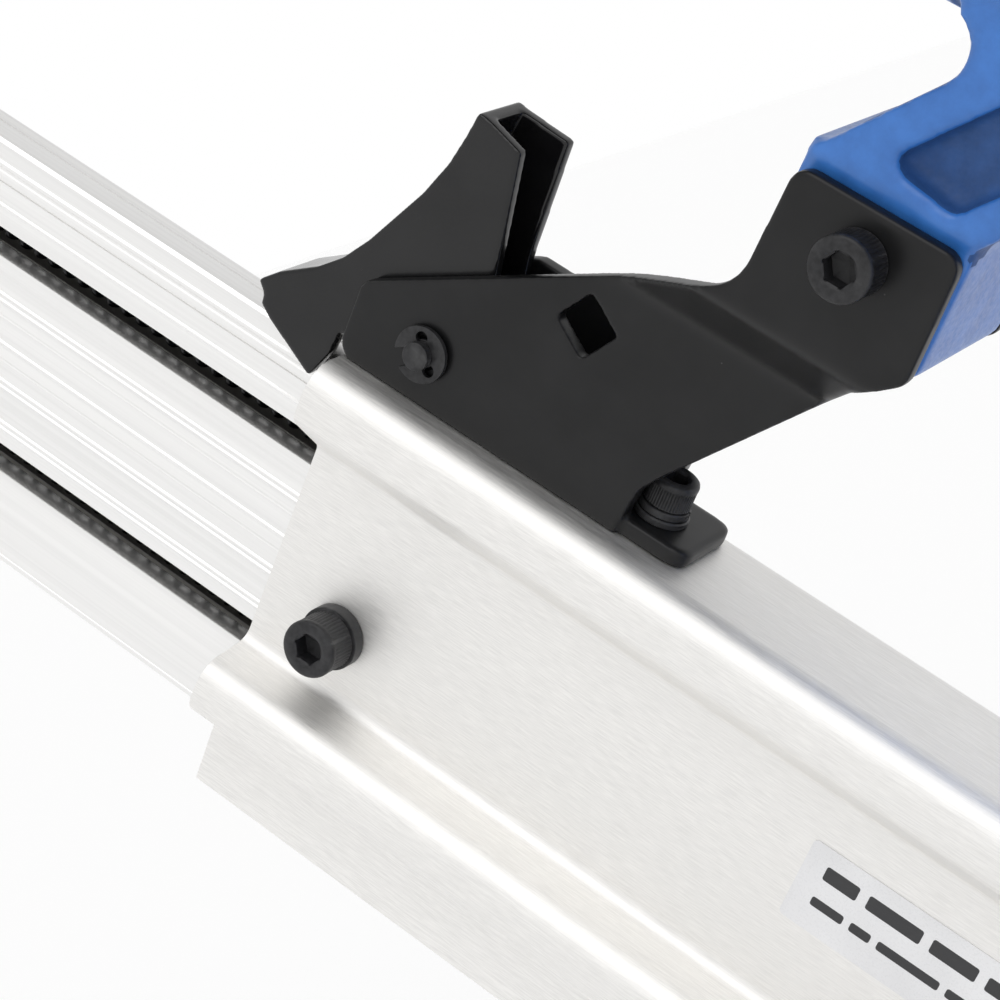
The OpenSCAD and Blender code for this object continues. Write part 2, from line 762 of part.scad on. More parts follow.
module handle_grip() {
    color("#2b2b2d") tool() difference() {
        translate([0, 0, handle_z]) along(box_outline(handle_w + 2, handle_h + 2, 14),
            [grip_front + 0.1, handle_rear]);
        translate([0, 0, handle_z]) along(box_outline(handle_w - 5.9, handle_h - 5.9, 12),
            [grip_front - 1, handle_rear + 1]);
    }
}

module handle_end_cap() {
    color("silver") tool() difference() {
        translate([handle_rear, 0, handle_z]) rotate(to_rear) union() {
            cylinder(r1 = 17, r2 = 15, h = 12);
            translate([0, 0, -8]) cylinder(r = 8.9, h = 9);
        }
        rod([handle_rear - 10, 0, handle_z], 6.6, 30, to_rear);
    }
}

module air_plug() {
    color("gold") tool() translate([handle_rear, 0, handle_z]) rotate(to_rear) difference() {
        union() {
            translate([0, 0, 2]) cylinder(r = 6.5, h = 12);
            translate([0, 0, 13.2]) cylinder(r = 8.1, h = 8, $fn = 6);
            translate([0, 0, 21]) cylinder(r = 5.9, h = 12);
            translate([0, 0, 33]) cylinder(r = 3.9, h = 5);
            translate([0, 0, 38]) cylinder(r1 = 5.9, r2 = 5.2, h = 7);
        }
        cylinder(r = 2.8, h = 60);
    }
}

module plug_seal() {
    color("white") tool() translate([handle_rear, 0, handle_z]) rotate(to_rear) tube(8, 6.55, [12, 13.2]);
}

housing();
cylinder_sleeve();
bumper();
piston();
piston_ring();
driver_blade();
main_valve();
head_gasket();
head_cap();
head_cap_screws();
exhaust_deflector();
strike_stem();
strike_cap();
strike_anvil();
strike_spring();
nose_front_plate();
nose_back_plate();
nose_screws();
flange_screws();
shoe();
base_pad();
shoe_screws();
cheek_screws();
magazine_cover();
magazine_blocks();
block_screws();
nut_plate();
rail_guide();
cover_screw();
cover_washer();
label();
rail();
rail_end_cap();
end_cap_screws();
guide_rods();
upper_spring();
lower_spring();
pusher();
staple_strip();
bracket();
foot_screw();
foot_washers();
handle_bolt();
handle_nut();
latch_lever();
latch_pin();
e_clips();
latch_spring();
handle_grip();
handle_end_cap();
air_plug();
plug_seal();
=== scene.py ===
import json
import math

import bmesh
import bpy
from mathutils import Matrix, Vector
from mathutils.geometry import tessellate_polygon


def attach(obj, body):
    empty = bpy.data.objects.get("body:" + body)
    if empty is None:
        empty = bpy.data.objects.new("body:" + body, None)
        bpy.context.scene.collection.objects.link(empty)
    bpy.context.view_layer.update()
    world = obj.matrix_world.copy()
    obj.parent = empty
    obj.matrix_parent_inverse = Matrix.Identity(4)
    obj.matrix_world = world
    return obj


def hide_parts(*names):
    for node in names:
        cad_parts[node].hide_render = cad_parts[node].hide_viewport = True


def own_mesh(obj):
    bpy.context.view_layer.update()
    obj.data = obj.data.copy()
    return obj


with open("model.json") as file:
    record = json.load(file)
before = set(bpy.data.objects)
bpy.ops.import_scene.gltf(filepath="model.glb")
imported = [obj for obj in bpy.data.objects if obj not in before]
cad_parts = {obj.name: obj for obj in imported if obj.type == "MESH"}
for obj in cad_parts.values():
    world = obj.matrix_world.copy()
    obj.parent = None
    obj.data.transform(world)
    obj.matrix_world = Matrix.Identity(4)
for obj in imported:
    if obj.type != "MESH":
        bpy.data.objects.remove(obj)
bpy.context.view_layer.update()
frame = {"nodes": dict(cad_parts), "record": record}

# ---------- the tool's own frame ----------
# Pieces are made in millimetres in the tool's frame: x back along the magazine, y lateral,
# z up the driver axis. TOOL takes them to the row frame, in metres.
S = math.sqrt(0.5)
PAD_MID = 41.6
TOOL = Matrix(((S * 1e-3, 0, -S * 1e-3, -PAD_MID * 1e-3), (0, 1e-3, 0, 0),
               (S * 1e-3, 0, S * 1e-3, 0), (0, 0, 0, 1)))
TURN = Matrix(((S, 0, -S), (0, 1, 0), (S, 0, S)))


def tool_box(node):
    """Lowest and highest corner of a CAD node in the tool's frame, to a hundredth of a millimetre."""
    to_tool = TOOL.inverted()
    points = [to_tool @ v.co for v in frame["nodes"][node].data.vertices]
    return [tuple(round(pick(p[k] for p in points), 2) for k in range(3)) for pick in (min, max)]


def middle(node):
    return Vector([(low + high) / 2 for low, high in zip(*tool_box(node))])


# The rail's plain body; its ribs stand out of both faces by RIB
RIB = 0.3
RAIL_LOW, RAIL_HIGH = tool_box("rail")
RAIL_FRONT, RAIL_REAR = RAIL_LOW[0], RAIL_HIGH[0]
RAIL_FAR, RAIL_NEAR = RAIL_LOW[1] + RIB, RAIL_HIGH[1] - RIB
RAIL_BOTTOM, RAIL_TOP = RAIL_LOW[2], RAIL_HIGH[2]
LANE_Y = -2.2
# Each spring lies in a wide cavity behind a narrow slot, whose lips are LIP_DEPTH deep
LIP_DEPTH, CAVITY = 3.4, 3.7
SPRINGS = ("upper_spring", "lower_spring")
UPPER_SLOT, LOWER_SLOT = (middle(node).z for node in SPRINGS)

SLOT_OF = {s["node"]: s["material_slot"] for s in frame["record"]["subparts"]}
BODY_OF = {n: b for b, nodes in frame["record"]["behaviour"]["bodies"].items() for n in nodes}


# ---------- materials ----------

class Nodes:
    """A small node tree round one Principled shader, with coordinates in the tool's frame."""

    def __init__(self, name, colour, metallic, rough, **sockets):
        self.mat = bpy.data.materials.new(name)
        self.mat.use_nodes = True
        self.tree = self.mat.node_tree
        self.bsdf = self.tree.nodes["Principled BSDF"]
        self.bsdf.inputs["Base Color"].default_value = (*colour, 1)
        self.bsdf.inputs["Metallic"].default_value = metallic
        self.bsdf.inputs["Roughness"].default_value = rough
        for key, value in sockets.items():
            self.bsdf.inputs[key.replace("_", " ")].default_value = value
        self.height = None
        coords = self.node("ShaderNodeTexCoord")
        turn = self.node("ShaderNodeMapping")
        turn.inputs["Rotation"].default_value = (0, math.radians(45), 0)
        self.link(coords.outputs["Object"], turn.inputs["Vector"])
        self.coords = turn.outputs["Vector"]

    def node(self, kind, **props):
        n = self.tree.nodes.new(kind)
        for key, value in props.items():
            setattr(n, key, value)
        return n

    def link(self, a, b):
        self.tree.links.new(a, b)

    def stretched(self, scale):
        m = self.node("ShaderNodeMapping")
        m.inputs["Scale"].default_value = scale
        self.link(self.coords, m.inputs["Vector"])
        return m.outputs["Vector"]

    def noise(self, scale, detail=3.0, rough=0.55):
        """Noise whose size differs along the tool's axes; scale is in cycles per metre."""
        n = self.node("ShaderNodeTexNoise")
        n.inputs["Scale"].default_value = 1.0
        n.inputs["Detail"].default_value = detail
        n.inputs["Roughness"].default_value = rough
        self.link(self.stretched(scale), n.inputs["Vector"])
        return n.outputs["Fac"]

    def specks(self, scale, size):
        n = self.node("ShaderNodeTexVoronoi")
        n.inputs["Scale"].default_value = scale
        self.link(self.coords, n.inputs["Vector"])
        return self.spread(n.outputs["Distance"], 0.0, size, 1.0, 0.0)

    def spread(self, value, low, high, to_low, to_high):
        n = self.node("ShaderNodeMapRange")
        n.inputs["From Min"].default_value = low
        n.inputs["From Max"].default_value = high
        n.inputs["To Min"].default_value = to_low
        n.inputs["To Max"].default_value = to_high
        self.link(value, n.inputs["Value"])
        return n.outputs["Result"]

    def maths(self, op, a, b):
        n = self.node("ShaderNodeMath", operation=op)
        for k, v in enumerate((a, b)):
            if isinstance(v, (int, float)):
                n.inputs[k].default_value = v
            else:
                self.link(v, n.inputs[k])
        return n.outputs["Value"]

    def mix(self, factor, a, b):
        n = self.node("ShaderNodeMix", data_type="RGBA")
        self.link(factor, n.inputs["Factor"])
        for k, v in ((6, a), (7, b)):
            if isinstance(v, tuple):
                n.inputs[k].default_value = (*v, 1)
            else:
                self.link(v, n.inputs[k])
        return n.outputs[2]

    def colour(self, socket):
        self.link(socket, self.bsdf.inputs["Base Color"])

    def rough(self, socket):
        self.link(socket, self.bsdf.inputs["Roughness"])

    def bump(self, height, strength, distance):
        """Adds a layer of relief; distance is its depth in metres."""
        n = self.node("ShaderNodeBump")
        n.inputs["Strength"].default_value = strength
        n.inputs["Distance"].default_value = distance
        self.link(height, n.inputs["Height"])
        if self.height is not None:
            self.link(self.height, n.inputs["Normal"])
        self.height = n.outputs["Normal"]
        self.link(self.height, self.bsdf.inputs["Normal"])

    def worn_edges(self, low=0.52, high=0.6):
        n = self.node("ShaderNodeNewGeometry")
        patchy = self.spread(self.noise((300, 300, 300)), 0.35, 0.65, 0.0, 1.0)
        return self.maths("MULTIPLY", self.spread(n.outputs["Pointiness"], low, high, 0.0, 1.0), patchy)


def brushed(name, colour, rough, grain, depth, shade=0.06):
    """Aluminium with grain along the magazine: grain is (along, across) in cycles per metre."""
    m = Nodes(name, colour, 1.0, rough)
    along, across = grain
    fine = m.noise((along, across, across), 4.0, 0.65)
    broad = m.noise((9, 60, 60), 2.0)
    dark = tuple(c * (1 - shade) for c in colour)
    light = tuple(min(1, c * (1 + shade / 3)) for c in colour)
    grain_shade = m.spread(fine, 0.36, 0.64, 0.0, 1.0)
    m.colour(m.mix(m.maths("MULTIPLY", grain_shade, m.spread(broad, 0.3, 0.7, 0.8, 1.2)), dark, light))
    m.rough(m.spread(fine, 0.3, 0.7, rough - 0.05, rough + 0.08))
    m.bump(fine, 0.35, depth)
    return m.mat


def painted(name, colour, rough, peel=0.00002, wear=(0.4, 0.4, 0.42), **sockets):
    m = Nodes(name, colour, 0.0, rough, **sockets)
    soft = m.noise((120, 120, 120), 3.0)
    darker = tuple(c * 0.88 for c in colour)
    base = m.mix(m.spread(soft, 0.35, 0.65, 0, 1), darker, colour)
    m.colour(m.mix(m.maths("MULTIPLY", m.worn_edges(0.56, 0.68), 0.35), base, wear))
    m.rough(m.spread(m.noise((500, 500, 500)), 0.3, 0.7, rough - 0.04, rough + 0.06))
    m.bump(m.noise((900, 900, 900), 2.0), 0.3, peel)
    return m.mat


def steel(name, colour, rough, shade=0.15):
    m = Nodes(name, colour, 1.0, rough)
    n = m.noise((400, 400, 1600), 4.0, 0.6)
    m.colour(m.mix(n, tuple(c * (1 - shade) for c in colour), tuple(min(1, c * (1 + shade)) for c in colour)))
    m.rough(m.spread(n, 0.3, 0.7, rough - 0.06, rough + 0.1))
    m.bump(n, 0.25, 0.00001)
    return m.mat


def moulded(name, colour, rough, grain=1800, depth=0.00003, **sockets):
    m = Nodes(name, colour, 0.0, rough, **sockets)
    n = m.noise((grain, grain, grain), 3.0)
    broad = m.noise((60, 60, 60), 2.0)
    m.colour(m.mix(m.spread(broad, 0.35, 0.65, 0, 1), tuple(c * 0.9 for c in colour), colour))
    m.rough(m.spread(n, 0.3, 0.7, rough - 0.08, rough + 0.08))
    m.bump(n, 0.4, depth)
    return m.mat


def blue_casting(name, dark, light, rough, coat):
    m = Nodes(name, light, 0.0, rough, Coat_Weight=coat, Coat_Roughness=0.2)
    cast = m.noise((260, 260, 260), 4.0, 0.6)
    fine = m.noise((1500, 1500, 1500), 3.0)
    base = m.mix(m.spread(cast, 0.35, 0.65, 0, 1), dark, light)
    m.colour(m.mix(m.maths("MULTIPLY", m.worn_edges(0.57, 0.7), 0.45), base, (0.22, 0.36, 0.66)))
    m.rough(m.spread(fine, 0.3, 0.7, rough - 0.06, rough + 0.1))
    m.bump(cast, 0.5, 0.00012)
    m.bump(fine, 0.3, 0.00003)
    return m.mat


def black_sheet(name, rough, shine):
    m = Nodes(name, (0.006, 0.006, 0.0065), 0.0, rough, Specular_IOR_Level=shine)
    cloud = m.noise((90, 90, 90), 3.0)
    dust = m.maths("MULTIPLY", m.specks(330, 0.045), m.spread(m.noise((70, 70, 70)), 0.5, 0.62, 0, 1))
    base = m.mix(m.spread(cloud, 0.35, 0.65, 0, 1), (0.004, 0.004, 0.0045), (0.008, 0.008, 0.0085))
    m.colour(m.mix(dust, base, (0.10, 0.10, 0.10)))
    m.rough(m.spread(cloud, 0.3, 0.7, rough - 0.04, rough + 0.05))
    m.bump(m.noise((700, 700, 700), 2.0), 0.2, 0.00002)
    return m.mat


def black_oxide():
    m = Nodes("black_screw", (0.014, 0.014, 0.015), 0.0, 0.4, Specular_IOR_Level=0.35)
    n = m.noise((1200, 1200, 1200), 4.0, 0.6)
    base = m.mix(m.spread(n, 0.35, 0.65, 0, 1), (0.009, 0.009, 0.010), (0.022, 0.022, 0.024))
    m.colour(m.mix(m.maths("MULTIPLY", m.worn_edges(0.53, 0.62), 0.5), base, (0.12, 0.12, 0.12)))
    m.rough(m.spread(n, 0.3, 0.7, 0.32, 0.5))
    m.bump(n, 0.3, 0.00002)
    return m.mat


MATERIALS = {
    "blue_paint": blue_casting("blue_paint", (0.026, 0.138, 0.45), (0.035, 0.172, 0.54), 0.38, 0.25),
    "dark_casting": painted("dark_casting", (0.045, 0.048, 0.052), 0.42, 0.00006),
    "black_plate": black_sheet("black_plate", 0.34, 0.32),
    "black_screw": black_oxide(),
    "steel": steel("steel", (0.55, 0.55, 0.55), 0.3),
    "hard_steel": steel("hard_steel", (0.36, 0.36, 0.37), 0.36),
    "spring_steel": steel("spring_steel", (0.035, 0.035, 0.037), 0.34),
    "extrusion": brushed("extrusion", (0.90, 0.895, 0.885), 0.36, (5, 900), 0.000004, 0.06),
    "cast_aluminium": steel("cast_aluminium", (0.66, 0.665, 0.68), 0.38, 0.08),
    "brass": steel("brass", (0.76, 0.57, 0.27), 0.25, 0.12),
    "grip_rubber": moulded("grip_rubber", (0.022, 0.022, 0.024), 0.62),
    "seal_rubber": moulded("seal_rubber", (0.016, 0.016, 0.017), 0.55),
    "white_plastic": moulded("white_plastic", (0.80, 0.80, 0.78), 0.4),
    "black_plastic": moulded("black_plastic", (0.024, 0.024, 0.026), 0.45),
    "amber_pad": moulded("amber_pad", (0.66, 0.33, 0.05), 0.35, Subsurface_Weight=0.15),
    "label": moulded("label", (0.80, 0.80, 0.81), 0.3, 3000, 0.000005),
}
SHEET_METAL = brushed("cover_sheet", (0.89, 0.88, 0.86), 0.52, (260, 5200), 0.000008, 0.10)
LEVER_PAINT = black_sheet("lever_paint", 0.17, 0.42)
# Darker aluminium for the faces inside the spring cavities: painted shade, not the metal's own colour.
PAINTED_CAVITY_SHADE = steel("painted_cavity_shade", (0.20, 0.195, 0.185), 0.5)
# Darker blue for the floors of the pockets in the leg: painted shade in the recesses.
PAINTED_POCKET_SHADE = blue_casting("painted_pocket_shade", (0.014, 0.062, 0.20), (0.022, 0.086, 0.27), 0.6, 0.0)
PRINT = moulded("label_print", (0.03, 0.03, 0.032), 0.4, 3000, 0.000005)


# ---------- mesh making ----------

def finish_mesh(name, bm, body, material, replaces=(), bevel=0.0, segments=2, angle=32, sharp=32,
                move=TOOL):
    """Turns a mesh made in the tool's frame into a piece. bevel is in millimetres."""
    bm.transform(move)
    bmesh.ops.recalc_face_normals(bm, faces=bm.faces)
    mesh = bpy.data.meshes.new(name)
    bm.to_mesh(mesh)
    bm.free()
    obj = bpy.data.objects.new(name, mesh)
    bpy.context.scene.collection.objects.link(obj)
    mesh.materials.append(material)
    mesh.shade_smooth()
    mesh.set_sharp_from_angle(angle=math.radians(sharp))
    if bevel:
        m = obj.modifiers.new("round", "BEVEL")
        m.width = bevel * 1e-3
        m.segments = segments
        m.limit_method = "ANGLE"
        m.angle_limit = math.radians(angle)
        m.harden_normals = True
        m.use_clamp_overlap = True
    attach(obj, body)
    if replaces:
        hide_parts(*replaces)
    return obj


def dress(node, bevel, segments=2, angle=32, sharp=32, material=None):
    """A copy of a CAD node with its tessellation cleaned and its edges rounded."""
    bm = bmesh.new()
    bm.from_mesh(frame["nodes"][node].data)
    for attribute in list(bm.loops.layers.uv):
        bm.loops.layers.uv.remove(attribute)
    bmesh.ops.remove_doubles(bm, verts=bm.verts, dist=2e-6)
    bmesh.ops.dissolve_limit(bm, angle_limit=math.radians(0.6), verts=bm.verts, edges=bm.edges)
    slot = SLOT_OF[node]
    return finish_mesh(node + "_piece", bm, BODY_OF[node], material or MATERIALS[slot],
                       (node,), bevel, segments, angle, sharp, Matrix())


def rings(bm, loops, wrap=False):
    """Skins a list of equally long closed loops of points, with flat ends unless it wraps round."""
    rows = [[bm.verts.new(p) for p in loop] for loop in loops]
    pairs = list(zip(rows, rows[1:])) + ([(rows[-1], rows[0])] if wrap else [])
    for a, b in pairs:
        for i in range(len(a)):
            j = (i + 1) % len(a)
            bm.faces.new((a[i], a[j], b[j], b[i]))
    if not wrap:
        bm.faces.new(list(reversed(rows[0])))
        bm.faces.new(rows[-1])


def placed(origin, axis):
    """Matrix that stands a piece made about +z at origin, along axis, in the tool's frame."""
    turn = Vector((0, 0, 1)).rotation_difference(Vector(axis)).to_matrix().to_4x4()
    return Matrix.Translation(Vector(origin)) @ turn


def lathe(bm, profile, n=72, where=Matrix()):
    """Profile rows are (radius or function of angle, height); ends are closed flat."""
    loops = []
    for radius, z in profile:
        loop = []
        for i in range(n):
            a = 2 * math.pi * i / n
            r = radius(a) if callable(radius) else radius
            loop.append(where @ Vector((r * math.cos(a), r * math.sin(a), z)))
        loops.append(loop)
    rings(bm, loops)


def hexagon(flat):
    """Radius of a hexagon with that distance across its flats."""
    return lambda a: flat / 2 / math.cos((a % (math.pi / 3)) - math.pi / 6)


def knurl(r, depth, teeth=48):
    return lambda a: r - depth * (0.5 + 0.5 * math.cos(a * teeth))


def socket_screw(bm, origin, axis, d, length, head_h, hex_flat=None, head_r=None, knurled=True):
    """Socket head screw: knurled side, rounded rim, chamfered hexagon socket, plain shank."""
    r = head_r or 0.85 * d
    flat = hex_flat or 0.8 * d
    depth = min(0.55 * d, head_h - 0.6)
    side = knurl(r, 0.2 if knurled else 0.0)
    shank = 0.49 * d
    profile = [(shank - 0.4, -length), (shank, -length + 0.4), (shank, 0), (r - 0.25, 0), (r, 0.25)]
    if knurled:
        profile += [(side, 0.5), (side, head_h - 1.15)]
    profile += [(r, head_h - 0.95), (r, head_h - 0.55), (r - 0.12, head_h - 0.2), (r - 0.42, head_h),
                (flat / 2 * 1.28, head_h), (flat / 2 * 1.17, head_h - 0.14),
                (hexagon(flat), head_h - 0.35), (hexagon(flat), head_h - depth),
                (0.3, head_h - depth - 0.35)]
    lathe(bm, profile, 144, placed(origin, axis))


def screws(name, node, spots, d, length, head_h):
    """A group of socket screws. Each spot is the seat under the head and the way that the head faces."""
    bm = bmesh.new()
    for origin, axis in spots:
        socket_screw(bm, origin, axis, d, length, head_h)
    return finish_mesh(name, bm, BODY_OF[node], MATERIALS[SLOT_OF[node]], (node,), sharp=38)


def coil(bm, start, length, turns, coil_r, wire_r, axes, sides=10, per_turn=20):
    """Wire wound about a line from start; axes are the line's two cross axes and its direction."""
    u, v, along = axes
    steps = int(turns * per_turn)
    loops = []
    for k in range(steps + 1):
        t = k / steps
        a = 2 * math.pi * turns * t
        radial = u * math.cos(a) + v * math.sin(a)
        tangent = (v * math.cos(a) - u * math.sin(a)) * coil_r * 2 * math.pi * turns + along * length
        tangent.normalize()
        binormal = tangent.cross(radial).normalized()
        c = start + along * length * t + radial * coil_r
        loops.append([c + radial * wire_r * math.cos(b) + binormal * wire_r * math.sin(b)
                      for b in (2 * math.pi * i / sides for i in range(sides))])
    rings(bm, loops)


def spring(name, node, start, axis, length, turns, coil_r, wire_r, **kw):
    """A helical compression spring from start along axis, in the tool's frame."""
    axis = Vector(axis).normalized()
    u = axis.orthogonal().normalized()
    v = axis.cross(u)
    bm = bmesh.new()
    coil(bm, Vector(start), length, turns, coil_r, wire_r, (u, v, axis), **kw)
    return finish_mesh(name, bm, BODY_OF[node], MATERIALS[SLOT_OF[node]], (node,), sharp=60)


def extrude_x(bm, outer, holes, x0, x1):
    """Solid bar along x with an outline and holes given as (y, z) rows."""
    loops = [outer] + list(holes)
    ends = []
    for x in (x0, x1):
        ends.append([[bm.verts.new((x, y, z)) for y, z in loop] for loop in loops])
    for a, b in zip(*ends):
        for i in range(len(a)):
            j = (i + 1) % len(a)
            bm.faces.new((a[i], a[j], b[j], b[i]))
    tris = tessellate_polygon([[Vector((y, z, 0)) for y, z in loop] for loop in loops])
    for end in ends:
        flat = [v for loop in end for v in loop]
        for tri in tris:
            bm.faces.new([flat[i] for i in tri])


def soften(node, voxel, passes, material=None):
    """A CAD node remeshed in the tool's frame, so that its edges and inner corners are softly rounded."""
    bm = bmesh.new()
    bm.from_mesh(frame["nodes"][node].data)
    bmesh.ops.remove_doubles(bm, verts=bm.verts, dist=2e-6)
    bm.transform(TOOL.inverted())
    mesh = bpy.data.meshes.new("raw")
    bm.to_mesh(mesh)
    bm.free()
    raw = bpy.data.objects.new("raw", mesh)
    bpy.context.scene.collection.objects.link(raw)
    m = raw.modifiers.new("voxels", "REMESH")
    m.mode = "VOXEL"
    m.voxel_size = voxel
    m = raw.modifiers.new("soften", "SMOOTH")
    m.factor = 0.5
    m.iterations = passes
    bpy.context.view_layer.update()
    done = bpy.data.meshes.new_from_object(raw.evaluated_get(bpy.context.evaluated_depsgraph_get()))
    bpy.data.objects.remove(raw)
    bm = bmesh.new()
    bm.from_mesh(done)
    slot = SLOT_OF[node]
    paint = material or MATERIALS[slot]
    return finish_mesh(node + "_piece", bm, BODY_OF[node], paint, (node,), sharp=180)


# ---------- rail ----------

def bead(z, side, base, proud=0.3, half=0.38):
    """Small rounded ridge on a rail face; side is +1 near, -1 far. Listed from low z to high z."""
    return [(base, z - half), (base + side * proud * 0.75, z - half * 0.5), (base + side * proud, z),
            (base + side * proud * 0.75, z + half * 0.5), (base, z + half)]


def groove(z, side, base, depth=0.12, half=0.15):
    return [(base, z - half), (base - side * depth, z - half * 0.4),
            (base - side * depth, z + half * 0.4), (base, z + half)]


def slot_outline(z, base):
    """Slot through the near wall and the wide cavity behind it, from low z to high z."""
    low, high = z - 2.05, z + 2.05
    lip = base - LIP_DEPTH
    back = lip - CAVITY
    return [(base, low - 0.3), (base - 0.09, low - 0.09), (base - 0.3, low), (lip, low), (lip, z - 4.5),
            (back + 0.5, z - 4.5), (back, z - 4.0), (back, z + 5.0), (back + 0.5, z + 5.5), (lip, z + 5.5),
            (lip, high), (base - 0.3, high), (base - 0.09, high + 0.09), (base, high + 0.3)]


def rail_outline():
    n, f = RAIL_NEAR, RAIL_FAR
    pts = [(n - 0.35, RAIL_BOTTOM), (n, RAIL_BOTTOM + 0.35)]
    pts += groove(23.2, 1, n, 0.12, 0.15) + slot_outline(LOWER_SLOT, n)
    pts += bead(42.55, 1, n) + bead(43.5, 1, n) + groove(46.0, 1, n, 0.06, 0.25)
    pts += bead(48.75, 1, n) + bead(49.75, 1, n) + groove(52.9, 1, n, 0.08, 0.25)
    pts += bead(55.35, 1, n) + groove(59.4, 1, n, 0.08, 0.25) + bead(61.5, 1, n) + bead(62.5, 1, n)
    pts += groove(65.4, 1, n, 0.06, 0.25) + slot_outline(UPPER_SLOT, n)
    pts += bead(75.35, 1, n, 0.3, 0.35) + groove(78.75, 1, n, 0.25, 0.16)
    pts += [(n + 0.14, 79.3), (n + 0.14, 80.1), (n, 80.35)] + bead(81.2, 1, n, 0.3, 0.55)
    pts += [(n, 83.4), (n - 0.2, 84.1), (n - 0.7, 84.55), (n - 1.4, RAIL_TOP)]
    pts += [(-2.6, RAIL_TOP), (-2.75, RAIL_TOP - 0.5), (-3.0, RAIL_TOP - 0.5), (-3.15, RAIL_TOP)]
    pts += [(f + 1.1, RAIL_TOP), (f + 0.9, RAIL_TOP - 0.35), (f + 0.3, RAIL_TOP - 0.4), (f, RAIL_TOP - 0.75)]
    for z in (81.2, 75.3, 62.5, 61.5, 55.35, 49.75, 48.75, 43.5, 42.55, 31.0):
        pts += list(reversed(bead(z, -1, f)))
    return pts + [(f, RAIL_BOTTOM + 0.35), (f + 0.35, RAIL_BOTTOM)]


def make_rail():
    """The ribbed extrusion, whose spring cavities are painted darker, as painted shade."""
    bm = bmesh.new()
    core = [(RAIL_FAR + 1.5, 46.5), (RAIL_FAR + 1.5, 62.0), (RAIL_NEAR - 1.5, 62.0), (RAIL_NEAR - 1.5, 46.5)]
    extrude_x(bm, rail_outline(), [core], RAIL_FRONT, RAIL_REAR)
    lip = RAIL_NEAR - LIP_DEPTH
    # Faces inside the spring cavities get the darker material, which is painted shade.
    for f in bm.faces:
        c = f.calc_center_median()
        in_cavity = min(abs(c.z - z) for z in (UPPER_SLOT, LOWER_SLOT)) < 6
        if f.calc_area() > 50 and RAIL_FAR + 0.5 < c.y < lip + 0.01 and in_cavity:
            f.material_index = 1
    rail = finish_mesh("rail_piece", bm, "rail", MATERIALS["extrusion"], ("rail",), sharp=24)
    rail.data.materials.append(PAINTED_CAVITY_SHADE)
    return rail


make_rail()
# The springs lie behind the pusher
COIL_PITCH, PUSHER_TRAVEL = 2.9, 60
for node in SPRINGS:
    start = tool_box(node)[0][0]
    length = RAIL_REAR - start
    _, y, z = middle(node)
    s = spring(node + "_coil", node, (start, y, z), (1, 0, 0), length, length / COIL_PITCH, 1.3, 0.42,
               per_turn=18)
    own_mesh(s)

# ---------- cover, label and its screw ----------

dress("magazine_cover", 0.22, 2, 40, 30, SHEET_METAL)


def rounded_plate(bm, x, y, z, r, n=6):
    """Thin plate in the xz plane with rounded corners, from y[0] to y[1]."""
    loops = []
    for yy in y:
        loop = []
        for cx, cz, a0 in ((x[1] - r, z[1] - r, 0), (x[0] + r, z[1] - r, 90), (x[0] + r, z[0] + r, 180),
                           (x[1] - r, z[0] + r, 270)):
            for k in range(n + 1):
                a = math.radians(a0 + 90 * k / n)
                loop.append(Vector((cx + r * math.cos(a), yy, cz + r * math.sin(a))))
        loops.append(loop)
    rings(bm, loops)


def make_label():
    """Plain sticker with two rows of bars in place of print."""
    (front, panel, low_edge), (rear, face, high_edge) = tool_box("label")
    bm = bmesh.new()
    rounded_plate(bm, (front, rear), (panel + 0.01, face), (low_edge, high_edge), 0.8)
    finish_mesh("label_sheet", bm, "tool", MATERIALS["label"], ("label",))
    bm = bmesh.new()
    rows = ((61.2, 63.4, 1.5, (5.2, 8.4, 7.0, 6.0, 9.0)),
            (56.9, 58.3, 1.1, (5.0, 3.2, 9.6, 4.4, 7.4, 3.4, 5.0)))
    for low, high, gap, widths in rows:
        x = 127.0
        for w in widths:
            rounded_plate(bm, (x - w, x), (face, face + 0.015), (low, high), 0.35, 3)
            x -= w + gap
    finish_mesh("label_bars", bm, "tool", PRINT)


make_label()
x, _, z = middle("cover_washer")
screws("cover_screw_piece", "cover_screw", [((x, tool_box("cover_washer")[1][1], z), (0, 1, 0))], 5, 3.5, 5.2)
dress("cover_washer", 0.15, 2, 40)

# ---------- latch bracket and lever ----------

# Where the washers lie on the bracket's foot, and how high they stand together
FOOT = middle("foot_washers")
FOOT.z, foot_seat = (corner[2] for corner in tool_box("foot_washers"))
soften("bracket", 0.4, 6)
soften("latch_lever", 0.28, 12, LEVER_PAINT)
dress("latch_pin", 0.3, 2, 50)
dress("e_clips", 0.12, 2, 50)
screws("foot_screw_piece", "foot_screw", [((FOOT.x, FOOT.y, foot_seat), (0, 0, 1))], 4, 7.5, 4)
screws("handle_bolt_piece", "handle_bolt", [((155, 15.5, 142.2), (0, 1, 0))], 5, 36.5, 5)
dress("handle_nut", 0.3, 2, 40)


def make_foot_washers():
    """Flat washer with a split lock washer on it, whose ends stand a little apart."""
    bm = bmesh.new()

    def ring(angles, rows, lift=0.0, **kw):
        loops = []
        for k, a in enumerate(angles):
            c, s = math.cos(a), math.sin(a)
            rise = lift * k / len(angles)
            loops.append([FOOT + Vector((r * c, r * s, z + rise)) for r, z in rows])
        rings(bm, loops, **kw)

    ring([2 * math.pi * k / 64 for k in range(64)],
         ((2.1, 0.0), (3.75, 0.0), (3.9, 0.15), (3.9, 0.8), (3.7, 1.0), (2.1, 1.0)), wrap=True)
    ring([math.radians(200 + 346 * k / 60) for k in range(61)],
         ((2.15, 1.02), (3.5, 1.02), (3.6, 1.12), (3.6, 1.95), (3.5, 2.05), (2.15, 2.05)), 0.12)
    finish_mesh("foot_washers_piece", bm, "tool", MATERIALS["black_screw"], ("foot_washers",),
                sharp=40)


make_foot_washers()


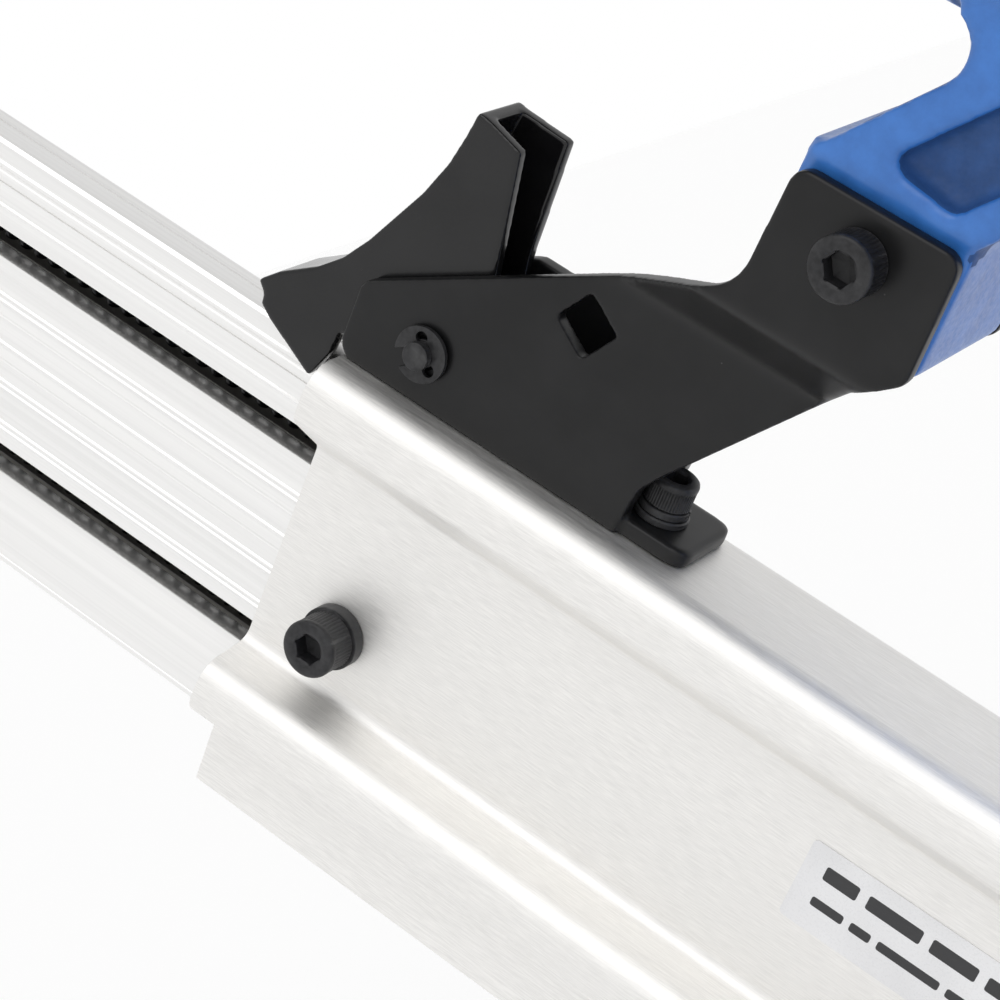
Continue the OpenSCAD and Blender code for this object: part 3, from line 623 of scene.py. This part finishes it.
def make_latch_spring():
    """Torsion spring on the pin, with one leg on the lever's web and one on the bracket's floor."""
    bm = bmesh.new()
    centre = middle("latch_spring")
    turns, wire, r = 5, 0.4, 2.65
    steps = turns * 20
    path = [centre + Vector((9.5, -2.2, -0.4)), centre + Vector((4.0, -2.2, -2.4))]
    for k in range(steps + 1):
        a = math.radians(-90) - 2 * math.pi * turns * k / steps
        path.append(centre + Vector((r * math.cos(a), -2.1 + 4.2 * k / steps, r * math.sin(a))))
    path += [centre + Vector((-5.0, 2.2, -2.8)), centre + Vector((-10.0, 2.2, -3.0))]
    loops = []
    for i, p in enumerate(path):
        t = (path[min(i + 1, len(path) - 1)] - path[max(i - 1, 0)]).normalized()
        u = t.cross(Vector((0, 1, 0))).normalized()
        v = t.cross(u)
        loops.append([p + (u * math.cos(b) + v * math.sin(b)) * wire
                      for b in (2 * math.pi * j / 8 for j in range(8))])
    rings(bm, loops)
    finish_mesh("latch_spring_coil", bm, "tool", MATERIALS["spring_steel"], ("latch_spring",),
                sharp=60)


make_latch_spring()

# ---------- housing and handle ----------


def shade_pockets(housing):
    """The floors of the pockets in the leg get a darker blue, which is painted shade, and a rougher finish
    without clear coat.
    """
    housing.data.materials.append(PAINTED_POCKET_SHADE)
    to_tool = TOOL.inverted()
    for face in housing.data.polygons:
        x, y, z = to_tool @ face.center
        # Pocket-floor faces get the darker blue: painted shade in the recess.
        if 128 < x < 162 and 148 < z < 176 and 9.5 < abs(y) < 13:
            face.material_index = 1


shade_pockets(soften("housing", 0.8, 7))


def make_grip():
    """Rubber sleeve: plain bands at both ends and a diamond pattern of shallow grooves between them."""
    bm = bmesh.new()
    (x0, low_y, low_z), (x1, high_y, high_z) = tool_box("handle_grip")
    width, height, corner = high_y - low_y, high_z - low_z, 14.0
    handle_z = (low_z + high_z) / 2
    steps, around, diamonds = 312, 192, 24
    end_round, band, groove_depth, groove_half = 0.6, 9.0, 0.7, 0.75
    outer = []
    flat_y, flat_z = width / 2 - corner, height / 2 - corner
    corners = ((flat_y, flat_z, 0), (-flat_y, flat_z, 90), (-flat_y, -flat_z, 180), (flat_y, -flat_z, 270))
    path = []
    for cy, cz, a0 in corners:
        for k in range(12):
            a = math.radians(a0 + 90 * k / 11)
            out = Vector((math.cos(a), math.sin(a)))
            path.append((Vector((cy, cz)) + out * corner, out))
    lengths = [0.0]
    for (p, _), (q, _) in zip(path, path[1:] + path[:1]):
        lengths.append(lengths[-1] + (q - p).length)
    total = lengths[-1]
    ring = []
    for i in range(around):
        s = total * i / around
        k = max(j for j in range(len(path)) if lengths[j] <= s + 1e-9)
        p, n = path[k]
        q, m = path[(k + 1) % len(path)]
        t = (s - lengths[k]) / max(lengths[k + 1] - lengths[k], 1e-9)
        ring.append((p.lerp(q, t), n.lerp(m, t).normalized(), s))
    pitch = total / diamonds
    for k in range(steps + 1):
        x = x0 + (x1 - x0) * k / steps
        edge = min(x - x0, x1 - x)
        loop = []
        for p, n, s in ring:
            d = 0.0
            if edge < end_round:
                d -= end_round - edge
            if edge > band:
                u = ((s + x) / pitch) % 1.0
                v = ((s - x) / pitch) % 1.0
                near = min(abs(u - 0.5), abs(v - 0.5)) * pitch
                d -= groove_depth * max(0.0, 1.0 - near / groove_half)
            elif 5.5 < edge < 7.0:
                d -= 0.5
            c = p + n * d
            loop.append(Vector((x, c.x, handle_z + c.y)))
        outer.append(loop)
    inner = [[Vector((x, p.x * 0.82, handle_z + p.y * 0.82)) for p, _, _ in ring] for x in (x1, x0)]
    rings(bm, outer + inner, wrap=True)
    finish_mesh("grip_sleeve", bm, "tool", MATERIALS["grip_rubber"], ("handle_grip",),
                sharp=50)


make_grip()
soften("handle_end_cap", 0.4, 7)
dress("air_plug", 0.3, 2, 40)
dress("plug_seal", 0.2, 2, 40)

# ---------- driver head ----------

soften("head_cap", 0.6, 7)
dress("head_gasket", 0.2, 1, 40)
soften("exhaust_deflector", 0.5, 6)
dress("strike_cap", 1.6, 4, 30)
dress("strike_anvil", 0.8, 3, 30)
dress("strike_stem", 0.5, 2, 40)
dress("main_valve", 0.5, 2, 40)
dress("cylinder_sleeve", 0.3, 2, 40)
dress("bumper", 0.8, 3, 40)
dress("piston", 0.4, 2, 40)
dress("piston_ring", 0.2, 2, 40)
dress("driver_blade", 0.15, 1, 40)
CORNERS = [(x, y) for x in (-33, 33) for y in (-33, 33)]
screws("head_cap_screws_piece", "head_cap_screws", [((x, y, 246.5), (0, 0, 1)) for x, y in CORNERS], 6, 26, 6)
# The strike spring rides with the striker
STROKE, STRIKE_WIRE = 7.0, 0.95
seat, top = (corner[2] for corner in tool_box("strike_spring"))
s = spring("strike_spring_coil", "strike_spring", (0, 0, seat + 1), (0, 0, 1), top - seat - 2, 3.5, 13.1,
           STRIKE_WIRE, sides=12, per_turn=48)
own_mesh(s)

# ---------- nose, shoe and magazine front ----------

soften("nose_front_plate", 0.5, 5)
soften("nose_back_plate", 0.5, 5)
soften("magazine_blocks", 0.4, 6)
soften("shoe", 0.6, 7)
dress("base_pad", 0.8, 3, 40)
dress("nut_plate", 0.2, 1, 40)
dress("rail_guide", 0.2, 1, 40)
screws("nose_screws_piece", "nose_screws",
       [((-13, y, z), (-1, 0, 0)) for y in (-15, 9.2) for z in (48, 64)], 5, 36, 5)
screws("cheek_screws_piece", "cheek_screws",
       [((7.3, y, z), (0, s, 0)) for y, s in ((21, 1), (-25, -1)) for z in (24, 38)], 5, 13, 5)
screws("block_screws_near", "block_screws",
       [((30, -20, z), (0, -1, 0)) for z in (60, 74)] + [((30, 13.4, z), (0, 1, 0)) for z in (49, 63)],
       4, 9.7, 4)


def level(x, y, z):
    """Point drawn in the shoe's level frame, measured from the driver line, as tool coordinates."""
    return (S * (x + z), y, S * (z - x))


screws("shoe_screws_piece", "shoe_screws",
       [(level(x, y, 10), (S, 0, S)) for x in (34, 70) for y in (LANE_Y - 27.8, LANE_Y + 28.2)], 5, 8, 5)


def make_flange_screws():
    bm = bmesh.new()
    for y in (-20.5, 20.5):
        socket_screw(bm, (-20, y, 82), (0, 0, -1), 5, 18, 5)
        socket_screw(bm, (20, y, 89.5), (0, 0, -1), 5, 11, 5)
    finish_mesh("flange_screws_piece", bm, "tool", MATERIALS["black_screw"],
                ("flange_screws",), sharp=38)


make_flange_screws()

# ---------- what rides with the rail ----------

soften("rail_end_cap", 0.3, 7)
dress("guide_rods", 0.1, 1, 60)
dress("pusher", 0.15, 2, 40)
screws("end_cap_screws_piece", "end_cap_screws",
       [((RAIL_REAR + 7, LANE_Y, z), (1, 0, 0)) for z in (28, 79.3)], 3, 14.9, 2)


def make_staples():
    """A glued strip of separate staples, each a bent wire, a hair apart."""
    bm = bmesh.new()
    (x0, _, low), (x1, _, top) = tool_box("staple_strip")
    count = 43
    pitch = (x1 - x0) / count
    near, far = RAIL_NEAR + RIB, RAIL_FAR - RIB
    for k in range(count):
        a = x0 + k * pitch + 0.03
        b = a + pitch - 0.06
        out = [(near + 0.98, low), (near + 0.98, top - 0.85), (near + 0.6, top), (far - 0.6, top),
               (far - 0.98, top - 0.85), (far - 0.98, low), (far - 0.02, low), (far - 0.02, RAIL_TOP + 0.1),
               (near + 0.02, RAIL_TOP + 0.1), (near + 0.02, low)]
        loops = [[Vector((x, y, z)) for y, z in out] for x in (a, b)]
        rings(bm, loops)
    bmesh.ops.triangulate(bm, faces=[f for f in bm.faces if len(f.verts) > 4])
    finish_mesh("staples", bm, "rail", MATERIALS["steel"], ("staple_strip",), sharp=30)


make_staples()

# ---------- floor, light and camera ----------


def stage_plane(name, size, material):
    bm = bmesh.new()
    bmesh.ops.create_grid(bm, x_segments=2, y_segments=2, size=size)
    mesh = bpy.data.meshes.new(name)
    bm.to_mesh(mesh)
    bm.free()
    obj = bpy.data.objects.new(name, mesh)
    bpy.context.scene.collection.objects.link(obj)
    mesh.materials.append(material)


floor_mat = bpy.data.materials.new("floor")
floor_mat.use_nodes = True
floor_mat.node_tree.nodes["Principled BSDF"].inputs["Base Color"].default_value = (0.99, 0.99, 0.99, 1)
floor_mat.node_tree.nodes["Principled BSDF"].inputs["Roughness"].default_value = 0.9
stage_plane("floor", 60.0, floor_mat)

scene = bpy.context.scene
scene.view_settings.view_transform = "Standard"


def studio():
    """A white wall all round, fading to a dimmer ceiling."""
    world = bpy.data.worlds.new("studio")
    world.use_nodes = True
    tree = world.node_tree
    coords = tree.nodes.new("ShaderNodeTexCoord")
    split = tree.nodes.new("ShaderNodeSeparateXYZ")
    tree.links.new(coords.outputs["Generated"], split.inputs["Vector"])
    fade = tree.nodes.new("ShaderNodeMapRange")
    fade.interpolation_type = "SMOOTHSTEP"
    for key, value in (("From Min", 0.1), ("From Max", 0.8), ("To Min", 1.0), ("To Max", 0.76)):
        fade.inputs[key].default_value = value
    tree.links.new(split.outputs["Z"], fade.inputs["Value"])
    tree.links.new(fade.outputs["Result"], tree.nodes["Background"].inputs["Strength"])
    tree.nodes["Background"].inputs["Color"].default_value = (1, 1, 1, 1)
    scene.world = world


def lamp(name, direction, strength, spread):
    """Soft far light shining from that direction; spread is its width in degrees."""
    light = bpy.data.lights.new(name, "SUN")
    light.energy = strength
    light.angle = math.radians(spread)
    obj = bpy.data.objects.new(name, light)
    obj.rotation_euler = Vector(direction).to_track_quat("Z", "Y").to_euler()
    scene.collection.objects.link(obj)


studio()
lamp("key", (-0.31, 0.52, 0.80), 0.7, 50)

# The camera stands on the near side, in front of the latch, and looks back and down at it
CAMERA_AT = Vector((60.09, 322.46, 268.46))
CAMERA_RIGHT = Vector((-0.78653, -0.51802, 0.33619))
CAMERA_AHEAD = Vector((0.33170, -0.81358, -0.47756))
camera = bpy.data.objects.new("camera", bpy.data.cameras.new("camera"))
scene.collection.objects.link(camera)
right = (TURN @ CAMERA_RIGHT).normalized()
back = -(TURN @ CAMERA_AHEAD).normalized()
up = back.cross(right).normalized()
turn = Matrix((right, up, back)).transposed().to_4x4()
camera.matrix_world = Matrix.Translation(TOOL @ CAMERA_AT) @ turn
camera.data.lens = 104.4
camera.data.sensor_width = 36.0
camera.data.clip_start = 0.01
scene.camera = camera
